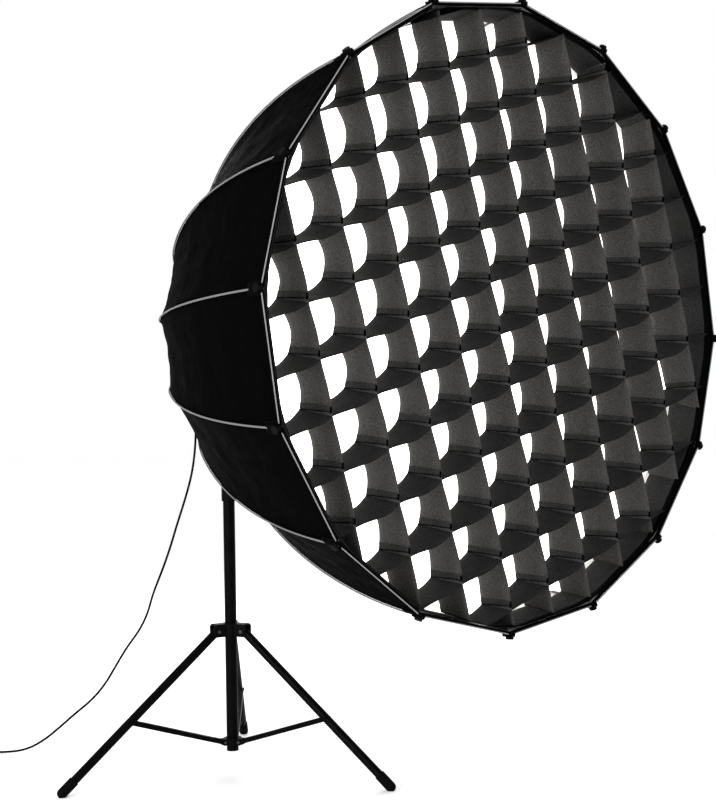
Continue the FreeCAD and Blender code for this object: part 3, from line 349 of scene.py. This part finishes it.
def meridian(depth):
    """Distance from the axis to the middle of a flat gore."""
    depth = np.asarray(depth, dtype=float)
    front = FRONT_MID[0] + np.sqrt(FRONT_ARC ** 2 - (depth - FRONT_MID[1]) ** 2)
    back = BACK_MID[0] + np.sqrt(np.maximum(BACK_ARC ** 2 - (depth - BACK_MID[1]) ** 2, 0))
    return np.where(depth < BEND_DEPTH, front, back)


def depth_steps(start, end, count):
    """Depths spaced evenly along the profile rather than along the axis."""
    fine = np.linspace(start, end, 800)
    radius = meridian(fine)
    run = np.concatenate([[0], np.cumsum(np.hypot(np.diff(fine), np.diff(radius)))])
    return np.interp(np.linspace(0, run[-1], count), run, fine)


def seam(k):
    """The angle of a seam about the axis, clockwise from the right as seen from the front."""
    return SEAM_START + 2 * HALF * k


def rim_corner(k, reach, depth):
    return np.array([reach * math.cos(seam(k)), reach * math.sin(seam(k)), depth])


def seam_line(k, start, end, count, lift):
    """Points along a seam, lifted outwards, and the outward directions, both in the row frame."""
    depth = depth_steps(start, end, count)
    radius = meridian(depth) / math.cos(HALF)
    slope = np.arctan2(-np.gradient(radius), np.gradient(depth))
    reach, back = radius + lift * np.cos(slope), depth + lift * np.sin(slope)
    angle = seam(k)
    points = np.stack([reach * math.cos(angle), reach * math.sin(angle), back], axis=-1)
    outward = np.stack([np.cos(slope) * math.cos(angle), np.cos(slope) * math.sin(angle), np.sin(slope)],
                       axis=-1)
    outward_row = np.stack([outward[:, 0], outward[:, 2], -outward[:, 1]], axis=-1)
    return to_row(points), outward_row


def shell():
    """Sixteen gores that pull in a little between the rods, with loose ripples along them."""
    along, across = 64, 17
    depth = depth_steps(0.0, SHELL_DEPTH, along)
    radius = meridian(depth)
    corner = radius / math.cos(HALF)
    slope = np.arctan2(-np.gradient(radius), np.gradient(depth))
    run, t = np.linspace(0, 1, along)[:, None], np.linspace(0, 1, across)[None, :]
    bow = 4 * t * (1 - t)
    scallop = (0.0015 + 0.0065 * np.sin(math.pi * np.clip(run * 1.05, 0, 1))) * bow
    gores = Build()
    for k in range(SIDES):
        left, right = (np.stack([corner * math.cos(seam(side)), corner * math.sin(seam(side)), depth], axis=-1)
                       for side in (k, k + 1))
        flat = left[:, None, :] * (1 - t)[..., None] + right[:, None, :] * t[..., None]
        middle = seam(k) + HALF
        inward = -np.stack([np.cos(slope) * math.cos(middle), np.cos(slope) * math.sin(middle),
                            np.sin(slope)], axis=-1)
        phase = rng.uniform(0, 6.28, 6)
        ripple = (0.0022 * np.sin(run * 15 + phase[0] + 2.2 * t)
                  + 0.0016 * np.sin(run * 34 + phase[1] - 3.5 * t)
                  + 0.0012 * np.sin(t * 19 + phase[2] + 6 * run)) * bow ** 0.5 * np.clip(run * 7, 0.1, 1)
        pull = 0.0012 * np.sin(t * 26 + phase[3]) * np.exp(-run * 14) * bow
        gores.grid(to_row(flat + (scallop + np.abs(ripple) + pull + 0.0008)[..., None] * inward[:, None, :]))
    return gores.done("shell_gores", [nylon, lining], "softbox", ["shell_fabric"], "black_nylon",
                      thick=SHELL_CLOTH)


def piping():
    """Pale piping sewn over each seam."""
    strands = Build()
    for k in range(SIDES):
        line, out = seam_line(k, PIPING_START, SHELL_DEPTH - 0.012, 56, 0.0022)
        strands.tube(line, PIPING_RADIUS, flat=0.8, out=out)
    return strands.done("seam_tape", [piping_tape], "softbox", ["seam_piping"], "silver_piping")


def rib_pockets():
    """Doubled cloth over each rod's tip, and the thick end that holds the tip at the rim."""
    patches = Build()
    for k in range(SIDES):
        line, out = seam_line(k, -0.004, PIPING_START + 0.006, 10, 0.0030)
        ahead = np.gradient(line, axis=0)
        ahead /= np.linalg.norm(ahead, axis=1)[:, None]
        side = np.cross(ahead, out)
        taper = 1 - 0.1 * np.linspace(0, 1, 10) ** 2
        width = POCKET_HALF_WIDTH * taper
        t = np.linspace(-1, 1, 7)
        drop = (0.0085 * np.abs(t) ** 1.4)[None, :, None] * taper[:, None, None] * 0.35
        patches.grid(line[:, None, :] + side[:, None, :] * (t[None, :, None] * width[:, None, None])
                     - out[:, None, :] * drop)
        # The tip, and points one metre beyond and behind it for the directions.
        spots = [(TIP_REACH, 0.003), (TIP_REACH + 1, 0.003), (TIP_REACH, 1.003)]
        tip, beyond, behind = to_row(np.stack([rim_corner(k, reach, depth) for reach, depth in spots]))
        radial, backward = beyond - tip, behind - tip
        patches.bar(tip, TIP_HALF, (radial, np.cross(backward, radial), backward))
    return patches.done("rib_pockets", [webbing], "softbox", slot="black_nylon", thick=0.0012)


def rim_tapes():
    """The bound edge: a folded tape, and a pale cord along its outer edge."""
    def loop(reach, depth, per_side=6):
        corners = [rim_corner(k, reach, depth) for k in range(SIDES)]
        line = [corners[k] * (1 - s) + corners[(k + 1) % SIDES] * s
                for k in range(SIDES) for s in np.linspace(0, 1, per_side, endpoint=False)]
        return to_row(line)

    tape, edge = Build(), Build()
    rings = np.stack([loop(reach, depth) for reach, depth in TAPE_SECTION], axis=1)
    tape.grid(rings, closed_across=True, closed_along=True)
    bound = tape.done("rim_tape", [webbing], "softbox", ["rim_binding"], "black_nylon")
    edge.tube(loop(EDGE_CORD_REACH, EDGE_CORD_DEPTH, 8), EDGE_CORD_RADIUS, closed=True)
    return [bound, edge.done("rim_pale_cord", [pale_cord], "softbox", slot="silver_piping")]


def whole_shell():
    """The shell with its trims: sixteen gores over the rods, the seam piping, the rib pockets and the bound rim.
    """
    shell()
    piping()
    rib_pockets()
    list(rim_tapes())


def diffuser():
    """White cloth stretched behind the grid."""
    rings, per_side = 22, 4
    r = np.linspace(0, 1, rings)
    points = np.zeros((rings, SIDES * per_side, 3))
    for k in range(SIDES):
        for s in range(per_side):
            corner = (rim_corner(k, DIFFUSER_REACH, 0) * (1 - s / per_side)
                      + rim_corner(k + 1, DIFFUSER_REACH, 0) * (s / per_side))
            points[:, k * per_side + s, :2] = corner[:2] * r[:, None]
    points[..., 2] = DIFFUSER_DEPTH + 0.003 * (1 - r ** 2)[:, None]
    sheet = Build()
    sheet.grid(to_row(points), closed_across=True)
    piece = sheet.done("diffuser_cloth", [lit_cloth], "softbox", ["front_diffuser"], "white_diffusion",
                       thick=0.0006)


def inner_baffle():
    """A round cloth across the beam, tied to every other rod by a strap."""
    disc, straps = Build(), Build()
    angles = np.linspace(0, 2 * math.pi, 64, endpoint=False)
    r = np.linspace(0.002, BAFFLE_RADIUS, 10)[:, None]
    depth = BAFFLE_DEPTH + 0.004 * (1 - (r / BAFFLE_RADIUS) ** 2) + 0 * angles
    disc.grid(to_row(np.stack([r * np.cos(angles), r * np.sin(angles), depth], axis=-1)), closed_across=True)
    reach = float(meridian(0.62)) - 0.016
    run, side = np.meshgrid(np.linspace(BAFFLE_RADIUS - 0.001, reach, 8),
                            np.linspace(-STRAP_WIDTH / 2, STRAP_WIDTH / 2, 3), indexing="ij")
    for k in range(0, SIDES, 2):
        turn = seam(k)
        straps.grid(to_row(np.stack([run * math.cos(turn) - side * math.sin(turn),
                                     run * math.sin(turn) + side * math.cos(turn),
                                     BAFFLE_DEPTH + 0 * run], axis=-1)))
    piece = disc.done("baffle_cloth", [lit_cloth], "softbox", ["inner_baffle"], "white_diffusion", thick=0.0007)
    ties = straps.done("baffle_straps", [lit_cloth], "softbox", slot="white_diffusion", thick=0.0007)


# ------------------------------------------------------------------ grid

GRID_DEPTH = 0.095
# One cell of the lattice at its front edges, in the softbox's x and y, and a crossing to start from.
CELL_ACROSS, CELL_DOWN = np.array([0.1279, -0.0461]), np.array([0.0297, 0.1209])
CROSSING = np.array([-0.7780, -0.0882])
ACROSS = CELL_ACROSS / np.linalg.norm(CELL_ACROSS)
DOWN = CELL_DOWN / np.linalg.norm(CELL_DOWN)
RUN = np.linspace(-4, 20, 4801)
BACK_RISE = 0.016
GRID_FRONT = 0.002
BAND_GAP = 0.0082
# The seams, as shares of a cell above the crossings: how far the front end is lifted, and where the tack sits.
SEAM_LIFT, STITCH_LIFT, TACK_LIFT = 0.07, 0.016, 0.11
TAB_HEIGHT = 0.0145
STITCHES, STITCH_PITCH, STITCH_LENGTH = 12, 0.0078, 0.0038


def band_apothem(depth):
    """Half the distance across the flats of the grid's band, at a depth behind the rim."""
    return meridian(depth + GRID_FRONT) - BAND_GAP


def edge_distance(x, y, depth):
    """How far inside the sixteen-sided band a point is."""
    inside = np.full(np.broadcast(x, y).shape, 10.0)
    for k in range(SIDES):
        middle = seam(k) + HALF
        inside = np.minimum(inside, band_apothem(depth) - (x * math.cos(middle) + y * math.sin(middle)))
    return inside


def lattice_flat(i, j):
    """Where a point of the lattice lies at its front edges."""
    x = CROSSING[0] + i * CELL_ACROSS[0] + j * CELL_DOWN[0]
    y = CROSSING[1] + i * CELL_ACROSS[1] + j * CELL_DOWN[1]
    return x, y


def lattice_point(i, j, depth, across=0.0, down=0.0):
    """Lattice coordinates to the softbox frame; the back edges sit up and to the left of the front ones."""
    x, y = lattice_flat(i, j)
    free = np.clip(edge_distance(x, y, 0.0) / 0.12, 0, 1)
    back = depth / GRID_DEPTH * free
    left = (0.0225 + 0.0105 * x + 0.022 * np.clip(x + 0.02, 0, 1)) * back
    x = x - left + across * free * ACROSS[0] + down * free * DOWN[0]
    y = y - BACK_RISE * back + across * free * ACROSS[1] + down * free * DOWN[1]
    return np.stack(np.broadcast_arrays(x, y, depth + GRID_FRONT), axis=-1)


def span(fixed, upright, depth=0.0):
    """Between which lattice coordinates a strip lies inside the band."""
    x, y = lattice_flat(fixed, RUN) if upright else lattice_flat(RUN, fixed)
    inside = RUN[edge_distance(x, y, depth) > 0]
    return (inside[0], inside[-1]) if len(inside) > 60 else None


UPRIGHTS = [i for i in range(-4, 20) if span(i, True, GRID_DEPTH)]
CROSSES = [j for j in range(-8, 16) if span(j, False, GRID_DEPTH)]
SWELL = rng.uniform(0.75, 1.3, (2, 40, 40))


def bulge(upright, fixed, run, depth):
    """Sideways bulge of an upright, or sag of a cross strip, between its crossings."""
    cell = np.floor(run).astype(int)
    t = run - cell
    size = SWELL[int(upright), int(fixed) + 10, cell + 10]
    back = depth / GRID_DEPTH
    if upright:
        left = 1.2 - (CROSSING[0] + fixed * CELL_ACROSS[0]) * 0.7
        return size * np.sin(math.pi * t ** 1.4) * (0.005 + 0.008 * left * back)
    return size * np.sin(math.pi * t ** 1.6) * (0.009 + 0.003 * back)


def strip_points(upright, fixed, steps=12):
    """A strip's points [along, depth, 3] in the softbox frame, and its length at the front."""
    depth = np.linspace(0, GRID_DEPTH, 8)
    low, high = span(fixed, upright)
    back_low, back_high = span(fixed, upright, GRID_DEPTH)
    run = np.array(sorted({round(low, 4), round(high, 4)}
                          | {k / steps for k in range(math.ceil(low * steps), math.floor(high * steps) + 1)}))
    r, d = np.meshgrid(run, depth, indexing="ij")
    near = [np.clip(1 - np.abs(run - end) / 0.6, 0, 1)[:, None] for end in (low, high)]
    r = r + d / GRID_DEPTH * ((back_low - low) * near[0] + (back_high - high) * near[1])
    swing = bulge(upright, fixed, np.clip(r, low, high), d)
    points = lattice_point(fixed, r, d, across=swing) if upright else lattice_point(r, fixed, d, down=swing)
    return points, (high - low) * np.linalg.norm(CELL_DOWN if upright else CELL_ACROSS)


def grid_strips():
    """The uprights, with the seams they carry, and the cross strips in a darker copy of the cloth, which is
    painted shade for their undersides.
    """
    for name, strips, upright in (("grid_uprights", UPRIGHTS, True), ("grid_crosses", CROSSES, False)):
        cloths, total = Build(), 0.0
        for fixed in strips:
            points, length = strip_points(upright, fixed)
            total += length
            cloths.grid(to_row(points))
        material = grid_cloth if upright else cross_cloth_painted_shade
        stands_for = ["egg_crate_grid"] if upright else []
        piece = cloths.done(name, [material], "softbox", stands_for, "grid_cloth", thick=0.0009)
        grid_seams() if upright else []


def grid_seams():
    """Where a cross strip is sewn to an upright: a gathered tab, a row of stitches and a bar tack."""
    tabs, stitches = Build(), Build()
    depth = np.linspace(0.001, GRID_DEPTH - 0.001, 25)
    tab_height = TAB_HEIGHT / np.linalg.norm(CELL_DOWN)
    h, d = np.meshgrid(np.linspace(-tab_height, 0.0, 5), depth, indexing="ij")
    loose = 0.15 - h / tab_height
    above = -SEAM_LIFT * (1 - d / GRID_DEPTH)
    for i in UPRIGHTS:
        low, high = span(i, True)
        for j in CROSSES:
            if not low + 0.2 < j < high - 0.12:
                continue
            pleat = np.abs(np.sin(d * 330 + rng.uniform(0, 6)) + 0.5 * np.sin(d * 710)) * 0.0013 * loose
            swing = bulge(True, i, j + h + above, d) - 0.0012 - pleat
            tabs.grid(to_row(lattice_point(i, j + h + above, d, across=swing)))
            for k in range(STITCHES):
                along = 0.003 + STITCH_PITCH * k + np.array([0.0, STITCH_LENGTH])
                lifted = j - STITCH_LIFT - SEAM_LIFT * (1 - along / GRID_DEPTH)
                start, end = to_row(lattice_point(i, lifted, along, across=-0.0024))
                length = np.linalg.norm(end - start)
                ahead = (end - start) / length
                flat = np.cross(ahead, [0, 0, 1.0])
                flat /= np.linalg.norm(flat)
                stitches.bar((start + end) / 2, (length / 2, 0.0010, 0.0011),
                             (ahead, flat, np.cross(ahead, flat)))
            tack = to_row(lattice_point(i, j - TACK_LIFT, np.array(0.001)))
            stitches.bar(tack, (0.0018, 0.0016, 0.0070), np.eye(3))
    return [tabs.done("grid_tabs", [tab_cloth], "softbox", slot="grid_cloth", thick=0.0008),
            stitches.done("grid_stitches", [thread], "softbox", slot="grid_cloth", smooth=False)]


def grid_band():
    """The cloth band that carries the ends of the strips, just inside the rim, passing inside the rods."""
    band, hem = Build(), Build()
    depths = np.linspace(-0.003, GRID_DEPTH + GRID_FRONT, 8)
    reaches = meridian(np.maximum(depths, 0.0)) / math.cos(HALF)
    per_side = 16
    points = np.zeros((SIDES * per_side, len(depths), 3))
    points[..., 2] = depths
    for k in range(SIDES):
        for s in range(per_side):
            t = s / per_side
            corner = (rim_corner(k, 1, 0) * (1 - t) + rim_corner(k + 1, 1, 0) * t)[:2]
            notch = 0.0085 + 0.0065 * abs(math.cos(math.pi * t)) ** 24
            points[k * per_side + s, :, :2] = corner * (reaches - notch / np.linalg.norm(corner))[:, None]
    band.grid(to_row(points), closed_along=True)
    inner = points[:, :3] * [0.9985, 0.9985, 1]
    inner[..., 2] = [-0.0045, 0.003, 0.0115]
    hem.grid(to_row(inner), closed_along=True)
    piece = band.done("grid_band", [tab_cloth], "softbox", slot="grid_cloth", thick=0.0009)
    trim = hem.done("grid_hem", [webbing], "softbox", slot="black_nylon", thick=0.0008)


# ------------------------------------------------------------------ power cord

# In millimetres: from the lamp's inlet down behind it, along the floor to the coil, and on to the plug.
CORD_ROUTE = [
    (0, 172, 1213.9), (1, 173, 1128), (3, 174, 1044), (2, 178, 962), (-4, 189, 884), (-18, 208, 806),
    (-34, 231, 729), (-48, 251, 655), (-65, 273, 583), (-84, 298, 512), (-93, 314, 452),
    (-110, 337, 398), (-137, 369, 345), (-160, 399, 286), (-181, 428, 229), (-209, 464, 178),
    (-243, 510, 134), (-276, 553, 88), (-308, 596, 46), (-345, 645, 14), (-390, 703, 4),
    (-436, 762, 4), (-470, 824, 4), (-478, 878, 4),
]
CORD_TAIL = [(-561, 915, 17), (-595, 905, 12.6), (-628, 894, 12.6)]
COIL_CENTRE = (-524, 871)
COIL_LAYS = [(47, 4), (40, 4), (33, 4), (33, 11), (40, 11), (47, 11),
             (47, 18), (40, 18), (33, 18), (33, 25), (40, 25), (47, 25)]
CORD_DIA = 0.007


def coil_points(per_turn=16):
    """Turns lying beside and on each other; each moves over to the next in its last fifth."""
    start = math.atan2(CORD_ROUTE[-1][1] - COIL_CENTRE[1], CORD_ROUTE[-1][0] - COIL_CENTRE[0])
    points = []
    for turn, (reach, height) in enumerate(COIL_LAYS):
        after = COIL_LAYS[min(turn + 1, len(COIL_LAYS) - 1)]
        for k in range(per_turn):
            t = k / per_turn
            ease = max(0.0, (t - 0.8) / 0.2)
            ease = ease * ease * (3 - 2 * ease)
            r, z = reach + (after[0] - reach) * ease, height + (after[1] - height) * ease
            angle = start + 2 * math.pi * t
            if turn or k:
                points.append((COIL_CENTRE[0] + r * math.cos(angle), COIL_CENTRE[1] + r * math.sin(angle), z))
    for t in (0.0, 0.08, 0.16, 0.22):
        angle = start + 2 * math.pi * t
        points.append((COIL_CENTRE[0] + 47 * math.cos(angle), COIL_CENTRE[1] + 47 * math.sin(angle), 25 - 8 * t))
    return points


def cord_path():
    """The cord's middle line, as points along a curve through the route."""
    route = [Vector(p) / 1000 for p in CORD_ROUTE + coil_points() + CORD_TAIL]
    curve = bpy.data.curves.new("lead_line", "CURVE")
    curve.dimensions = "3D"
    curve.resolution_u = 6
    spline = curve.splines.new("NURBS")
    spline.points.add(len(route) - 1)
    for point, spot in zip(spline.points, route):
        point.co = (*spot, 1)
    spline.order_u = 3
    spline.use_endpoint_u = True
    line = bpy.data.objects.new("lead_line", curve)
    bpy.context.scene.collection.objects.link(line)
    path = [tuple(v.co) for v in bpy.data.meshes.new_from_object(line).vertices]
    bpy.data.objects.remove(line)
    return path


def cord_ties():
    """Two cloth ties round the coil, flattened where they pass under it."""
    centre = np.array([*COIL_CENTRE, 15]) / 1000
    ties = Build()
    turn = np.linspace(0, 2 * math.pi, 28, endpoint=False)
    section = [(0.040 + 0.0125 * np.sign(np.cos(a)) * abs(np.cos(a)) ** 0.5,
                0.0155 * np.sign(np.sin(a)) * abs(np.sin(a)) ** 0.5) for a in turn]
    for angle in (2.6, 5.6):
        outward = np.array([math.cos(angle), math.sin(angle), 0])
        sideways = np.array([-math.sin(angle), math.cos(angle), 0])
        rings = np.array([[centre + outward * r + np.array([0, 0, max(z, -0.0142)]) + sideways * w
                           for w in (-0.006, 0.006)] for r, z in section])
        ties.grid(rings, closed_along=True)
    return ties.done("cord_ties", [webbing], "yoke", slot="black_nylon", thick=0.0012)


def power_cord():
    path = cord_path()
    cord = Build()
    cord.tube(path, CORD_DIA / 2, sides=12)
    lead = new_mesh("mains_lead", np.concatenate(cord.verts), cord.faces, [rubber])
    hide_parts("power_cord", "power_cord_coil")
    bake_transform(lead)
    cord_ties()


whole_shell()
diffuser()
inner_baffle()
grid_strips()
grid_band()
power_cord()


# ------------------------------------------------------------------ studio

def studio():
    """A white room without walls, a white floor and three soft lights."""
    world = bpy.data.worlds.new("studio")
    bpy.context.scene.world = world
    world.use_nodes = True
    world.node_tree.nodes["Background"].inputs["Color"].default_value = (1.0, 1.0, 1.0, 1)
    world.node_tree.nodes["Background"].inputs["Strength"].default_value = 1.0
    floor_material, tree, shader, where = graph("pale_floor")
    tree.links.new(ramp(tree, noise(tree, where, 1.5), (0.3, grey(0.995)), (0.7, grey(0.999))),
                   shader.inputs["Base Color"])
    shader.inputs["Roughness"].default_value = 0.9
    shader.inputs["Specular IOR Level"].default_value = 0.1
    turn = np.linspace(0, 2 * math.pi, 96, endpoint=False)
    floor = new_mesh("floor", [(40 * math.cos(a), 40 * math.sin(a), 0.0) for a in turn],
                     [list(range(96))], [floor_material])
    for name, spot, aim, power, width in (
            ("key", (-5.2, -1.6, 1.9), (-0.6, -0.8, 1.2), 240, 1.6),
            ("front", (-0.6, -5.2, 3.2), (0.2, -1.2, 1.2), 60, 2.4),
            ("rear", (2.6, 3.0, 3.2), (0, 0, 1.0), 120, 2.0)):
        light = bpy.data.lights.new(name, "AREA")
        light.energy = power
        light.size = width
        lamp = bpy.data.objects.new(name, light)
        lamp.location = spot
        lamp.rotation_euler = (Vector(aim) - Vector(spot)).to_track_quat("-Z", "Y").to_euler()
        lamp.visible_camera = False
        bpy.context.scene.collection.objects.link(lamp)


def aim_camera():
    """The camera's place and its right, up and back directions."""
    right = Vector((0.76996, -0.63788, -0.01660))
    up = Vector((0.00849, -0.01577, 0.99984))
    back = -Vector((0.63804, 0.76998, 0.00673))
    camera.matrix_world = Matrix.Translation((-2.5990, -3.7482, 1.0698)) @ Matrix(
        (right, up, back)).transposed().to_4x4()
    camera.data.lens = 68.54
    camera.data.clip_end = 200


studio()
aim_camera()
bpy.context.scene.view_settings.view_transform = "Standard"
